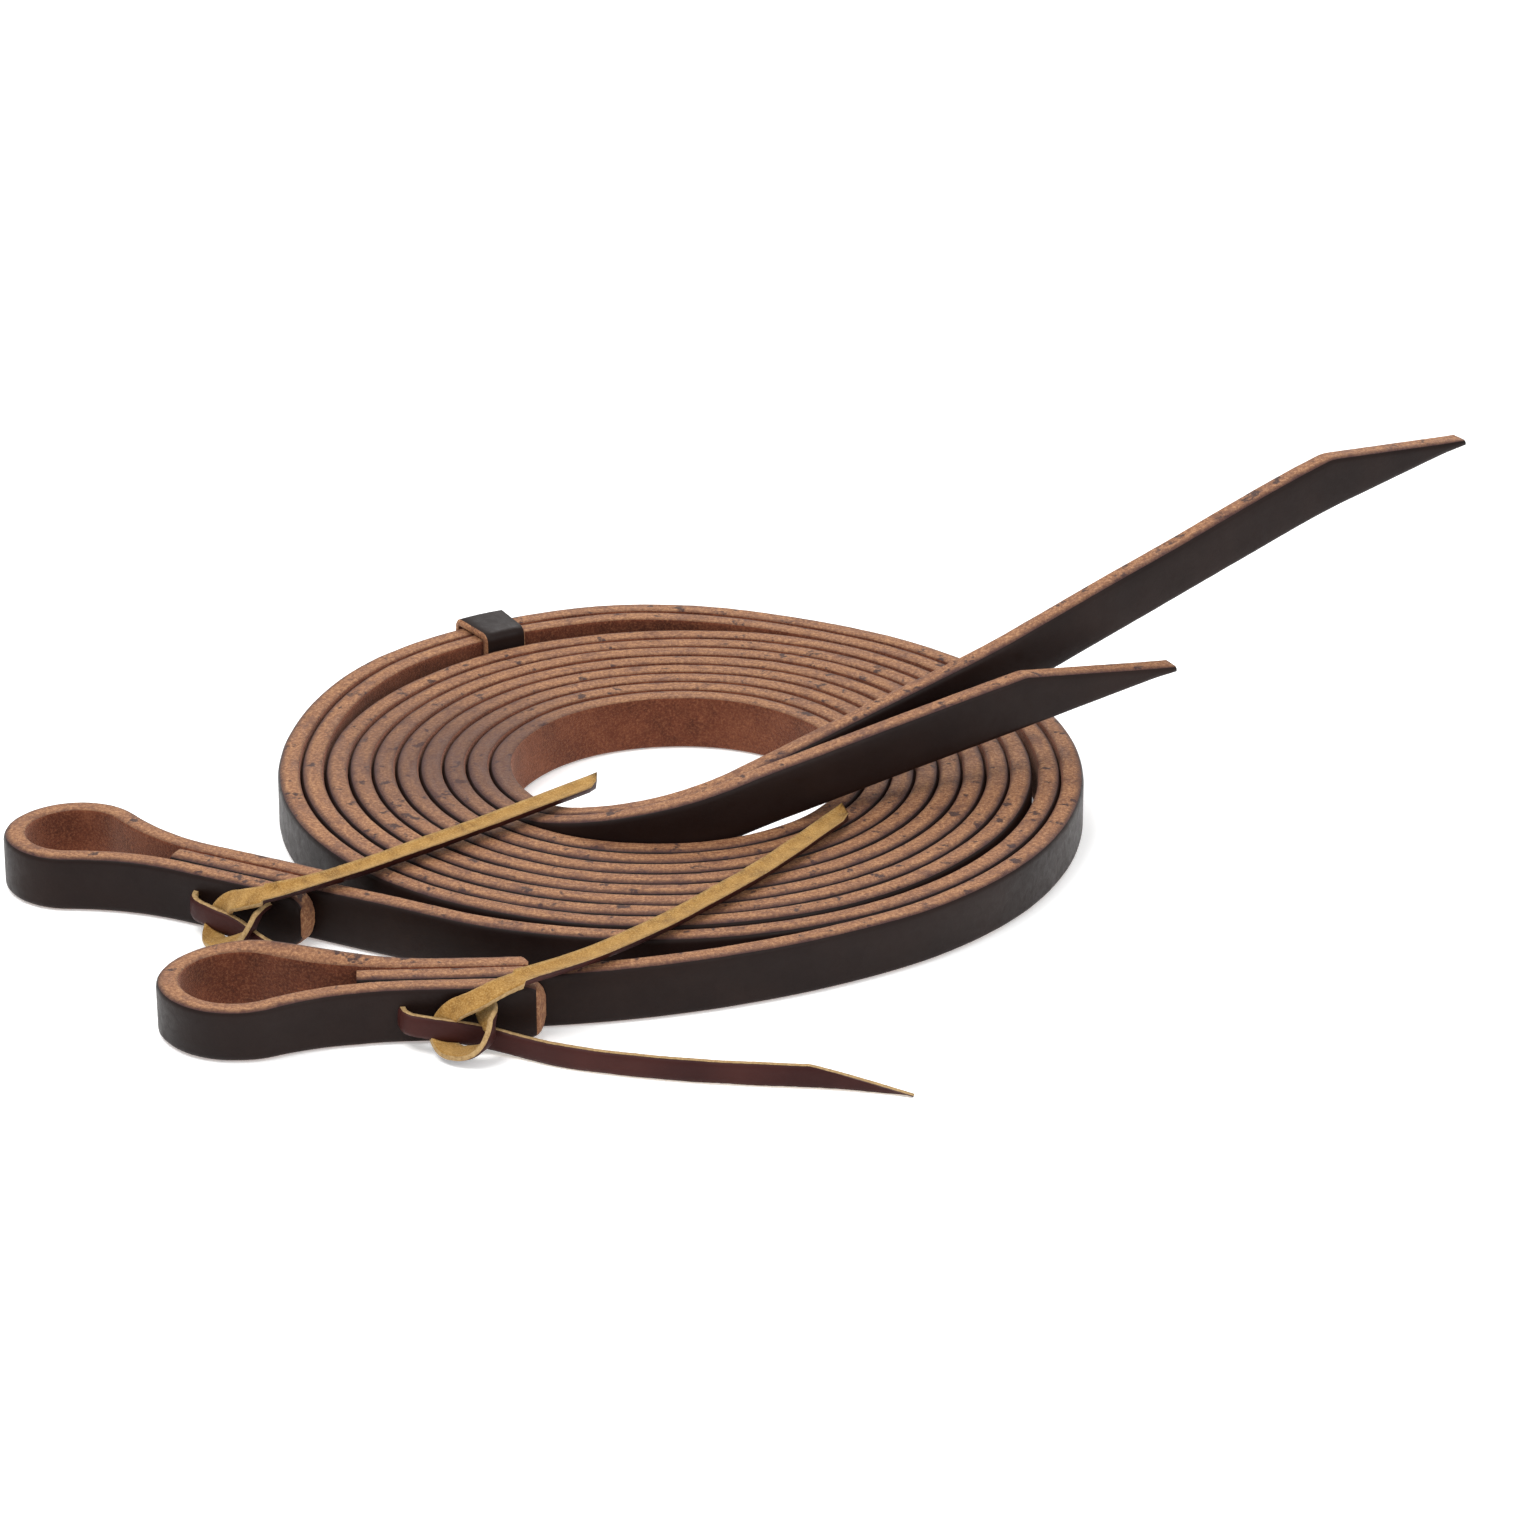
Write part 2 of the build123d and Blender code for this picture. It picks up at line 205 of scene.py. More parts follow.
class Nodes:
    """Short calls for building one material's nodes."""

    def __init__(self, name):
        self.material = bpy.data.materials.new(name)
        self.material.use_nodes = True
        self.tree = self.material.node_tree
        self.shader = self.tree.nodes["Principled BSDF"]

    def add(self, kind, **values):
        node = self.tree.nodes.new(kind)
        for key, value in values.items():
            setattr(node, key, value)
        return node

    def link(self, source, target):
        self.tree.links.new(source, target)

    def coordinates(self, kind="Object", scale=(1, 1, 1), centre=(0, 0, 0)):
        source = self.add("ShaderNodeTexCoord")
        mapping = self.add("ShaderNodeMapping")
        mapping.inputs["Scale"].default_value = scale
        mapping.inputs["Location"].default_value = [-c * MM for c in centre]
        self.link(source.outputs[kind], mapping.inputs["Vector"])
        return mapping.outputs["Vector"]

    def noise(self, vector, scale, detail=4.0, rough=0.55, distortion=0.0):
        node = self.add("ShaderNodeTexNoise")
        node.inputs["Scale"].default_value = scale
        node.inputs["Detail"].default_value = detail
        node.inputs["Roughness"].default_value = rough
        node.inputs["Distortion"].default_value = distortion
        self.link(vector, node.inputs["Vector"])
        return node.outputs["Fac"]

    def ramp(self, factor, stops):
        node = self.add("ShaderNodeValToRGB")
        elements = node.color_ramp.elements
        elements[0].position, elements[0].color = stops[0][0], (*stops[0][1], 1)
        elements[1].position, elements[1].color = stops[-1][0], (*stops[-1][1], 1)
        for position, colour in stops[1:-1]:
            elements.new(position).color = (*colour, 1)
        self.link(factor, node.inputs["Fac"])
        return node.outputs["Color"]

    def mix(self, factor, first, second, blend="MIX"):
        node = self.add("ShaderNodeMix", data_type="RGBA", blend_type=blend)
        colour_a, colour_b = node.inputs[6], node.inputs[7]
        for socket, value in ((node.inputs["Factor"], factor), (colour_a, first), (colour_b, second)):
            if isinstance(value, tuple):
                socket.default_value = (*value, 1)
            elif isinstance(value, float):
                socket.default_value = value
            else:
                self.link(value, socket)
        return node.outputs[2]

    def range(self, value, low_in, high_in, low_out, high_out):
        node = self.add("ShaderNodeMapRange")
        node.inputs["From Min"].default_value = low_in
        node.inputs["From Max"].default_value = high_in
        node.inputs["To Min"].default_value = low_out
        node.inputs["To Max"].default_value = high_out
        self.link(value, node.inputs["Value"])
        return node.outputs["Result"]

    def bump(self, height, distance, strength=1.0, under=None):
        node = self.add("ShaderNodeBump")
        node.inputs["Distance"].default_value = distance
        node.inputs["Strength"].default_value = strength
        self.link(height, node.inputs["Height"])
        if under is not None:
            self.link(under, node.inputs["Normal"])
        return node.outputs["Normal"]

    def finish(self, colour, roughness, normal, sheen=0.0, sheen_tint=(1, 1, 1), specular=0.5):
        self.link(colour, self.shader.inputs["Base Color"])
        self.link(roughness, self.shader.inputs["Roughness"])
        self.link(normal, self.shader.inputs["Normal"])
        self.shader.inputs["Sheen Weight"].default_value = sheen
        self.shader.inputs["Sheen Tint"].default_value = (*sheen_tint, 1)
        self.shader.inputs["Specular IOR Level"].default_value = specular
        return self.material


def floor_material():
    nodes = Nodes("studio_floor")
    nodes.shader.inputs["Base Color"].default_value = (0.93, 0.93, 0.925, 1)
    nodes.shader.inputs["Roughness"].default_value = 0.9
    nodes.shader.inputs["Specular IOR Level"].default_value = 0.1
    nodes.shader.inputs["Emission Color"].default_value = (1, 1, 1, 1)
    nodes.shader.inputs["Emission Strength"].default_value = FLOOR_GLOW
    return nodes.material


def grain_material(name, dark, light, roughness=0.44):
    """Oiled grain side: near-black with a low soft shine, fine pores and faint creases."""
    nodes = Nodes(name)
    place = nodes.coordinates()
    broad = nodes.noise(place, 45, 3)
    pores = nodes.noise(place, 2600, 2, 0.6)
    creases = nodes.noise(place, 420, 5, 0.65, 0.8)
    colour = nodes.mix(nodes.range(broad, 0.35, 0.7, 0.0, 1.0), dark, light)
    shine = nodes.range(creases, 0.3, 0.7, roughness - 0.07, roughness + 0.1)
    normal = nodes.bump(creases, 0.00012, 0.35)
    normal = nodes.bump(pores, 0.00006, 0.35, under=normal)
    return nodes.finish(colour, shine, normal, specular=0.14)


def edge_material():
    """Cut edge: tan fibres across the strap's thickness, darkened at both bevels: partly the grain bevel's
    real burnish, partly painted shade of the gaps between neighbouring straps.
    """
    nodes = Nodes("strap_edge")
    across = nodes.add("ShaderNodeUVMap", uv_map="strap")
    split = nodes.add("ShaderNodeSeparateXYZ")
    nodes.link(across.outputs["UV"], split.inputs["Vector"])
    place = nodes.coordinates()
    along = nodes.add("ShaderNodeMapping")
    along.inputs["Scale"].default_value = (90, 2.2, 1)
    nodes.link(across.outputs["UV"], along.inputs["Vector"])
    streaks = nodes.noise(along.outputs["Vector"], 1.0, 5, 0.6)
    fibres = nodes.noise(place, 1250, 6, 0.8)
    patches = nodes.noise(place, 150, 5, 0.7)
    base = nodes.ramp(
        streaks,
        [(0.3, (0.20, 0.080, 0.034)), (0.5, (0.32, 0.142, 0.060)), (0.7, (0.43, 0.215, 0.098))],
    )
    base = nodes.mix(nodes.range(fibres, 0.40, 0.62, 0.0, 0.8), base, (0.150, 0.056, 0.028))
    base = nodes.mix(nodes.range(fibres, 0.52, 0.36, 0.0, 0.45), base, (0.60, 0.33, 0.17))
    stain = nodes.range(patches, 0.54, 0.66, 0.0, 0.6)
    base = nodes.mix(stain, base, (0.10, 0.036, 0.024))
    marks = nodes.noise(place, 260, 3, 0.6)
    base = nodes.mix(nodes.range(marks, 0.61, 0.67, 0.0, 0.9), base, (0.035, 0.014, 0.014))
    # Strap edges darker towards a spot left of the coil's eye
    eye_spot_offset = nodes.coordinates("Object", (1, 1, 1), EYE_DARKENING_PLACE)
    reach = nodes.add("ShaderNodeVectorMath", operation="LENGTH")
    nodes.link(eye_spot_offset, reach.inputs[0])
    near_eye = nodes.range(reach.outputs["Value"], 0.014, 0.044, 0.7, 0.0)
    base = nodes.mix(near_eye, base, (0.060, 0.024, 0.020))
    wobble = nodes.add("ShaderNodeMath", operation="MULTIPLY_ADD")
    wobble.inputs[1].default_value = 0.16
    nodes.link(patches, wobble.inputs[0])
    nodes.link(split.outputs["Y"], wobble.inputs[2])
    # Dark bands at both sides of the edge: partly real burnish, partly painted shade from the gaps between
    # straps
    burnish_and_gap_shade = nodes.ramp(
        wobble.outputs["Value"],
        [(0.05, (0.8, 0.8, 0.8)), (0.22, (0.12, 0.12, 0.12)), (0.36, (0, 0, 0)), (0.72, (0, 0, 0)),
         (0.86, (0.45, 0.45, 0.45)), (1.0, (1, 1, 1))],
    )
    colour = nodes.mix(burnish_and_gap_shade, base, (0.045, 0.016, 0.016))
    roughness = nodes.range(streaks, 0.3, 0.7, 0.55, 0.8)
    normal = nodes.bump(streaks, 0.0005, 0.8)
    normal = nodes.bump(fibres, 0.0003, 0.8, under=normal)
    return nodes.finish(colour, roughness, normal, sheen=0.05, sheen_tint=(1, 0.8, 0.65), specular=0.3)


def flesh_material():
    """Flesh side: red-brown suede with short fuzz."""
    nodes = Nodes("strap_flesh")
    place = nodes.coordinates()
    cloudy = nodes.noise(place, 90, 5, 0.6)
    fuzz = nodes.noise(place, 1900, 4, 0.75)
    colour = nodes.ramp(
        cloudy, [(0.3, (0.055, 0.013, 0.006)), (0.52, (0.115, 0.029, 0.013)), (0.75, (0.18, 0.056, 0.026))]
    )
    colour = nodes.mix(nodes.range(fuzz, 0.48, 0.68, 0.0, 0.7), colour, (0.27, 0.10, 0.048))
    colour = nodes.mix(nodes.range(fuzz, 0.46, 0.32, 0.0, 0.6), colour, (0.03, 0.008, 0.005))
    roughness = nodes.range(fuzz, 0.3, 0.7, 0.85, 1.0)
    normal = nodes.bump(fuzz, 0.00035, 0.8)
    return nodes.finish(colour, roughness, normal, sheen=0.35, sheen_tint=(1, 0.6, 0.45), specular=0.15)


def lace_flesh_material():
    """Latigo lace flesh: yellow-tan suede."""
    nodes = Nodes("lace_flesh")
    place = nodes.coordinates()
    cloudy = nodes.noise(place, 260, 5, 0.6)
    fuzz = nodes.noise(place, 2600, 4, 0.75)
    colour = nodes.ramp(
        cloudy, [(0.3, (0.19, 0.086, 0.017)), (0.5, (0.33, 0.165, 0.036)), (0.75, (0.45, 0.250, 0.068))]
    )
    colour = nodes.mix(nodes.range(fuzz, 0.5, 0.68, 0.0, 0.6), colour, (0.64, 0.42, 0.16))
    colour = nodes.mix(nodes.range(fuzz, 0.46, 0.34, 0.0, 0.6), colour, (0.13, 0.062, 0.012))
    roughness = nodes.range(fuzz, 0.3, 0.7, 0.8, 1.0)
    normal = nodes.bump(fuzz, 0.0003, 0.8)
    return nodes.finish(colour, roughness, normal, sheen=0.3, sheen_tint=(1, 0.85, 0.5), specular=0.2)


def lace_edge_material():
    """The lace's pale cut edge."""
    nodes = Nodes("lace_edge")
    place = nodes.coordinates()
    fibres = nodes.noise(place, 1400, 5, 0.65)
    colour = nodes.ramp(fibres, [(0.3, (0.24, 0.14, 0.055)), (0.7, (0.50, 0.34, 0.16))])
    roughness = nodes.range(fibres, 0.3, 0.7, 0.75, 0.95)
    normal = nodes.bump(fibres, 0.0002, 0.6)
    return nodes.finish(colour, roughness, normal, specular=0.2)


strap_materials = {
    "grain": grain_material("strap_grain", (0.0095, 0.0042, 0.0034), (0.0165, 0.0080, 0.0062)),
    "edge": edge_material(),
    "flesh": flesh_material(),
}
lace_materials = {
    "grain": grain_material("lace_grain", (0.032, 0.008, 0.007), (0.055, 0.015, 0.012), 0.5),
    "edge": lace_edge_material(),
    "flesh": lace_flesh_material(),
}
keeper_materials = {
    "grain": grain_material("keeper_grain", (0.010, 0.0052, 0.0044), (0.019, 0.0105, 0.0085), 0.42),
    "edge": strap_materials["edge"],
    "flesh": strap_materials["flesh"],
}


# ---- sweeping a leather section along a path ----

def rounded_section(low, high, thickness, grain_bevel, flesh_bevel):
    """Corners of a strap section as (across, up, kind): across grows from flesh to grain."""
    half = thickness / 2
    tall = high - low
    grain = min(grain_bevel, 0.45 * tall)
    flesh = min(flesh_bevel, 0.45 * tall)
    arc_steps = 4
    face_steps = 4
    points = []

    def corner(across, up, radius, first, kinds):
        for i in range(arc_steps + 1):
            turn = math.radians(first + 90 * i / arc_steps)
            kind = kinds[0] if i < arc_steps / 2 else kinds[1]
            points.append((across + radius * math.cos(turn), up + radius * math.sin(turn), kind))

    def face(start, end, kind):
        for i in range(1, face_steps):
            share = i / face_steps
            a = start[0] + (end[0] - start[0]) * share
            b = start[1] + (end[1] - start[1]) * share
            points.append((a, b, kind))

    corner(half - grain, low + grain, grain, -90, ("edge", "grain"))
    face((half, low + grain), (half, high - grain), "grain")
    corner(half - grain, high - grain, grain, 0, ("grain", "edge"))
    face((half - grain, high), (-half + flesh, high), "edge")
    corner(-half + flesh, high - flesh, flesh, 90, ("edge", "flesh"))
    face((-half, high - flesh), (-half, low + flesh), "flesh")
    corner(-half + flesh, low + flesh, flesh, 180, ("flesh", "edge"))
    face((-half + flesh, low), (half - grain, low), "edge")
    return points


def skin(name, rings, kinds, across, lengths, materials, closed=False, cut_spans=()):
    """A mesh through rings of points. kinds and across say the material and UV of each point of a ring.

    On cut_spans the grain side has been pared away, so the cut edge's fibres show there instead."""
    mesh = bpy.data.meshes.new(name)
    body = bmesh.new()
    uv_layer = body.loops.layers.uv.new("strap")
    rows = [[body.verts.new(Vector(p) * MM) for p in ring] for ring in rings]
    names = list(materials)
    count = len(kinds)
    spans = len(rows) if closed else len(rows) - 1
    for i in range(spans):
        one, two = rows[i], rows[(i + 1) % len(rows)]
        for j in range(count):
            k = (j + 1) % count
            face = body.faces.new((one[j], two[j], two[k], one[k]))
            pared = i in cut_spans and kinds[j] != "flesh"
            face.material_index = names.index("edge" if pared else kinds[j])
            face.smooth = True
            corners = ((i, j), (i + 1, j), (i + 1, k), (i, k))
            for loop, (row, column) in zip(face.loops, corners):
                loop[uv_layer].uv = (lengths[row] * MM, 0.5 if pared else across[column])
    if not closed:
        for row, flip in ((rows[0], False), (rows[-1], True)):
            face = body.faces.new(row if not flip else row[::-1])
            face.material_index = names.index("edge")
            for loop in face.loops:
                loop[uv_layer].uv = (0.0, 0.5)
    bmesh.ops.recalc_face_normals(body, faces=body.faces)
    body.to_mesh(mesh)
    body.free()
    for key in names:
        mesh.materials.append(materials[key])
    piece = bpy.data.objects.new(name, mesh)
    bpy.context.collection.objects.link(piece)
    return piece


def running_lengths(points):
    total = [0.0]
    for before, after in zip(points, points[1:]):
        total.append(total[-1] + (Vector(after) - Vector(before)).length)
    return total


class Station(NamedTuple):
    """One place along a strap that stands on edge, and the shape of its section there."""

    point: Vector
    outward: Vector
    low: float = 0.0
    high: float = STRAP_WIDTH
    # How much of the grain side is pared away
    cut: float = 0.0
    # How far back the bottom stands in Y
    lean: float = 0.0
    # How far the grain side stands above the flesh side
    twist: float = 0.0


def unevenness(size_and_rate, place, *where):
    size, rate = size_and_rate
    return size * noise.noise(Vector((place * rate, *where)))


def sweep_strap(name, stations, seed):
    """A strap on edge along its stations, with a little sway and worn edges."""
    points = [station.point for station in stations]
    lengths = running_lengths(points)
    last = len(points) - 1
    full_section = rounded_section(0.0, STRAP_WIDTH, STRAP_THICKNESS, GRAIN_BEVEL, FLESH_BEVEL)
    kinds = [kind for _, _, kind in full_section]
    across = [0.5 + a / STRAP_THICKNESS for a, _, _ in full_section]
    cut_spans = {i for i in range(last) if max(stations[i].cut, stations[i + 1].cut) > 0}
    rings = []
    for i, station in enumerate(stations):
        tangent = (points[min(i + 1, last)] - points[max(i - 1, 0)]).normalized()
        up = station.outward.cross(tangent)
        if up.z < 0:
            up = -up
        up.normalize()
        place = lengths[i]
        sway = unevenness(SLOW_SWAY, place, seed, 0.0) + unevenness(QUICK_SWAY, place, seed, 5.0)
        top = station.high
        if station.high - station.low > STRAP_WIDTH - 0.1:
            top += unevenness(EDGE_RISE, place, seed, 9.0)
        section = rounded_section(station.low, top, STRAP_THICKNESS, GRAIN_BEVEL, FLESH_BEVEL)
        ring = []
        for j, (a, b, _) in enumerate(section):
            nick = unevenness(EDGE_NICK, place, j * 2.3, seed) if b > 0.2 else 0.0
            a = min(a, STRAP_THICKNESS / 2 - station.cut)
            lean = station.lean * (1 - b / STRAP_WIDTH)
            lift = station.twist * (0.5 + a / STRAP_THICKNESS)
            shear = Vector((0, lean, lift))
            ring.append(station.point + station.outward * (a + sway) + up * (b + nick) + shear)
        rings.append(ring)
    return skin(name, rings, kinds, across, lengths, strap_materials, cut_spans=cut_spans)


# ---- the coil's formula ----

def window(angle):
    away = abs((angle - KEEPER_ANGLE + 180.0) % 360.0 - 180.0)
    share = min(max((away - LIFT_FLAT_ANGLE) / LIFT_FADE_ANGLE, 0.0), 1.0)
    return math.cos(share * math.pi / 2) ** 2


def turn_shift(angle):
    turn = int(angle // 360)
    if turn == 0:
        return OUTER_TURN_BULGE * window(angle)
    return -INNER_TURN_SQUEEZE[min(turn, len(INNER_TURN_SQUEEZE)) - 1] * window(angle)


def settled(angle):
    share = (angle - SETTLE_START_ANGLE) / (SETTLE_END_ANGLE - SETTLE_START_ANGLE)
    return min(max(share, 0.0), 1.0)


def coil_point(angle, side):
    pair_radius = COIL_RADIUS - STRAP_THICKNESS - LAYER_GAP / 2 - PAIR_PITCH * angle / 360
    radius = pair_radius + side * STRAP_SPACING / 2 + turn_shift(angle)
    radius -= INNER_TURNS_SHRINK * settled(angle)
    turn = math.radians(angle)
    centre = Vector(INNER_TURNS_SHIFT) * settled(angle)
    return centre + Vector((radius * math.sin(turn), -radius * math.cos(turn), 0.0))


def coil_heading(angle, side):
    travel = coil_point(angle + 0.5, side) - coil_point(angle - 0.5, side)
    return math.degrees(math.atan2(travel.y, travel.x))


def along(heading):
    turn = math.radians(heading)
    return Vector((math.cos(turn), math.sin(turn), 0.0))


def left_of(heading):
    return along(heading + 90)


def keeper_lift(angle, side):
    """How far the outer pair stands off the floor inside and beside the keeper."""
    away = abs(angle - KEEPER_ANGLE)
    reach = LIFT_FLAT_ANGLE + LIFT_FADE_ANGLE
    if away >= reach:
        return 0.0
    radius = coil_point(KEEPER_ANGLE, side).length
    end = radius * math.sin(math.radians(reach))
    flat = radius * math.sin(math.radians(LIFT_FLAT_ANGLE))
    share = min(max((end - radius * math.sin(math.radians(away))) / (end - flat), 0.0), 1.0)
    return KEEPER_LIFT * (3 * share**2 - 2 * share**3)


def tail_height(x, corners):
    """Height of a tail's bottom edge at x, with each corner of the line rounded off."""
    height = corners[0][1]
    slope = 0.0
    for (x0, z0), (x1, z1) in zip(corners, corners[1:]):
        new_slope = (z1 - z0) / (x1 - x0)
        change = new_slope - slope
        over = x - x0
        if over > TAIL_BLEND:
            height += change * over
        elif over > -TAIL_BLEND:
            height += change * (over + TAIL_BLEND) ** 2 / (4 * TAIL_BLEND)
        slope = new_slope
    return height


class Rein:
    """One rein's course from its cut end in the water loop to its pointed tail."""

    def __init__(self, side, join_angle, bend_radius, end_heading, straight,
                 leave_angle, tail_length, tail_edge):
        self.side = side
        self.join_angle = join_angle
        self.bend_radius = bend_radius
        self.heading = end_heading
        self.straight = straight
        self.leave_angle = leave_angle
        self.tail_length = tail_length
        self.tail_edge = tail_edge
        join_heading = coil_heading(join_angle, side)
        self.join_heading = join_heading
        self.bend_centre = coil_point(join_angle, side) + left_of(join_heading) * bend_radius
        bend_start = self.bend_centre - left_of(end_heading) * bend_radius
        self.origin = bend_start - along(end_heading) * straight

    def stations(self):
        result = []
        count = int(self.straight / STATION_STEP)
        for i in range(count):
            point = self.origin + along(self.heading) * (self.straight * i / count)
            result.append(Station(point, -left_of(self.heading)))
        sweep = self.join_heading - self.heading
        count = int(math.radians(sweep) * self.bend_radius / STATION_STEP)
        for i in range(count):
            heading = self.heading + sweep * i / count
            point = self.bend_centre - left_of(heading) * self.bend_radius
            result.append(Station(point, -left_of(heading)))
        angle = self.join_angle
        while angle < self.leave_angle:
            point = coil_point(angle, self.side)
            heading = coil_heading(angle, self.side)
            point.z = keeper_lift(angle, self.side)
            if angle > CLIMB_START_ANGLE:
                point.z = tail_height(point.x, self.tail_edge)
            result.append(Station(point, -left_of(heading)))
            angle += math.degrees(STATION_STEP / point.xy.length)
        result += self.tail_stations()
        return result

    def tail_stations(self):
        start = coil_point(self.leave_angle, self.side)
        heading = coil_heading(self.leave_angle, self.side)
        direction = along(heading)
        points = []
        count = int(self.tail_length / STATION_STEP)
        for i in range(count + 1):
            point = start + direction * (self.tail_length * i / count)
            point.z = tail_height(point.x, self.tail_edge)
            points.append(point)
        lengths = running_lengths(points)
        result = []
        for point, length in zip(points, lengths):
            left = lengths[-1] - length
            share = min(left / TAIL_CUT_LENGTH, 1.0)
            high = TAIL_TIP_HEIGHT + (STRAP_WIDTH - TAIL_TIP_HEIGHT) * share
            result.append(Station(point, -left_of(heading), high=high))
        return result


near = Rein(1, NEAR_JOIN_ANGLE, NEAR_BEND_RADIUS, NEAR_END_HEADING, NEAR_STRAIGHT,
            NEAR_LEAVE_ANGLE, NEAR_TAIL_LENGTH, NEAR_TAIL_EDGE)
far = Rein(-1, FAR_JOIN_ANGLE, FAR_BEND_RADIUS, FAR_END_HEADING, FAR_STRAIGHT,
           FAR_LEAVE_ANGLE, FAR_TAIL_LENGTH, FAR_TAIL_EDGE)


def water_loop_stations(rein, bight_radius, bight_distance, front_flap, back_flap, skive,
                        lean=0.0, twist=0.0):
    """The folded strap's course, from the back flap's end round the bight to the front flap's end."""
    leg = STRAP_SPACING
    bight = Vector((-bight_distance, 0))
    neck_y = leg + LOOP_NECK_BEND
    reach = math.sqrt((bight_radius + LOOP_NECK_BEND) ** 2 - neck_y**2)
    neck_x = bight.x + reach
    slope = math.degrees(math.atan2(neck_y, reach))
    plan = []

    def arc(centre, radius, first, last):
        count = max(int(math.radians(abs(last - first)) * radius / STATION_STEP), 2)
        for i in range(count):
            turn = math.radians(first + (last - first) * i / count)
            inward = Vector((-math.cos(turn), -math.sin(turn)))
            plan.append((Vector(centre) - inward * radius, inward))

    def leg_line(start, end, y, outward):
        count = int(abs(end - start) / FLAP_STEP)
        for i in range(count + 1):
            plan.append((Vector((start + (end - start) * i / count, y)), outward))

    leg_line(back_flap, neck_x + FLAP_STEP, leg, Vector((0, 1)))
    arc((neck_x, neck_y), LOOP_NECK_BEND, 270, 180 + slope)
    bight_start = len(plan)
    arc(bight, bight_radius, slope, 360 - slope)
    bight_end = len(plan)
    arc((neck_x, -neck_y), LOOP_NECK_BEND, 180 - slope, 90)
    leg_line(neck_x, front_flap, -leg, Vector((0, -1)))
    stations = []
    ahead = along(rein.heading)
    aside = left_of(rein.heading)
    for i, (flat, direction) in enumerate(plan):
        outward = -direction if bight_start <= i < bight_end else direction
        on_front = i >= bight_end
        left = (front_flap if on_front else back_flap) - flat.x
        inset = 0.0
        if on_front:
            rounded = FLAP_CORNER - math.sqrt(FLAP_CORNER**2 - max(FLAP_CORNER - left, 0.0) ** 2)
            inset = min(rounded, FLAP_TIP_INSET)
        towards_nose = min(max(-flat.x / bight_distance, 0.0), 1.0)
        towards_front = min(max(0.5 - flat.y / bight_radius, 0.0), 1.0)
        away = min(abs(flat.x - TWIST_CENTRE) / TWIST_REACH, 1.0)
        swell = math.cos(away * math.pi / 2) ** 2 * min(max(flat.y / leg, 0.0), 1.0)
        stations.append(Station(
            point=rein.origin + ahead * flat.x + aside * flat.y,
            outward=ahead * outward.x + aside * outward.y,
            low=inset,
            high=STRAP_WIDTH - inset,
            cut=FLAP_SKIVE_DEPTH * max(1 - left / skive, 0.0),
            lean=lean * towards_nose * towards_front,
            twist=twist * swell,
        ))
    return stations


def keep_piece(piece, node, body):
    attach(piece, body)
    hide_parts(node)


# ---- laces ----

UP = (0, 0, 1)
# Each point is x, y, z in mm, then the way the lace's flesh side faces there.
NEAR_LACE = (
    ((41.0, -29.0, 14.2), UP),
    ((24.0, -57.5, 14.1), UP),
    ((8.5, -78.0, 14.0), UP),
    ((-8.5, -98.0, 14.0), UP),
    ((-23.5, -111.0, 14.2), UP),
    ((-32.0, -116.5, 14.2), (0.1, -0.3, 1)),
    ((-38.5, -119.5, 11.6), (0, -0.6, 1)),
    ((-44.0, -118.0, 8.6), (-0.2, -1, 0.4)),
    ((-46.5, -117.6, 2.8), (0.6, -1, 0.5)),
    ((-43.0, -124.0, 1.4), (0.1, -0.1, 1)),
    ((-36.8, -125.6, 3.2), (-0.75, 0.3, 0.55)),
    ((-34.2, -123.4, 7.2), (-0.85, 0.5, 0.2)),
    ((-36.2, -116.5, 8.4), (-0.6, 0.3, 0.8)),
    ((-36.5, -107.0, 6.4), (-1, 0, 0)),
    ((-37.5, -96.5, 6.5), (-0.5, -1, 0)),
    ((-46.5, -95.5, 6.9), (0, -1, 0)),
    ((-55.0, -97.5, 6.3), (0.5, -1, 0)),
    ((-54.0, -107.5, 6.5), (1, 0, 0)),
    ((-54.5, -118.0, 6.2), (0.6, 1, 0)),
    ((-48.0, -120.0, 5.8), (0, 1, 0)),
    ((-41.0, -120.0, 4.8), (0, 1, 0)),
    ((-35.0, -119.8, 3.4), (0, 1, 0)),
    ((-29.5, -121.8, 2.7), (0.2, 1, 0)),
    ((-20.5, -126.5, 2.6), (0.2, 1, 0)),
    ((-6.0, -130.6, 2.6), (0.2, 1, 0)),
    ((9.0, -133.4, 2.6), (0.1, 1, 0)),
    ((24.0, -134.9, 2.6), (0.1, 1, 0)),
    ((38.0, -136.1, 2.6), (0.1, 1, 0)),
    ((52.5, -139.3, 2.6), (0.1, 1, 0)),
)
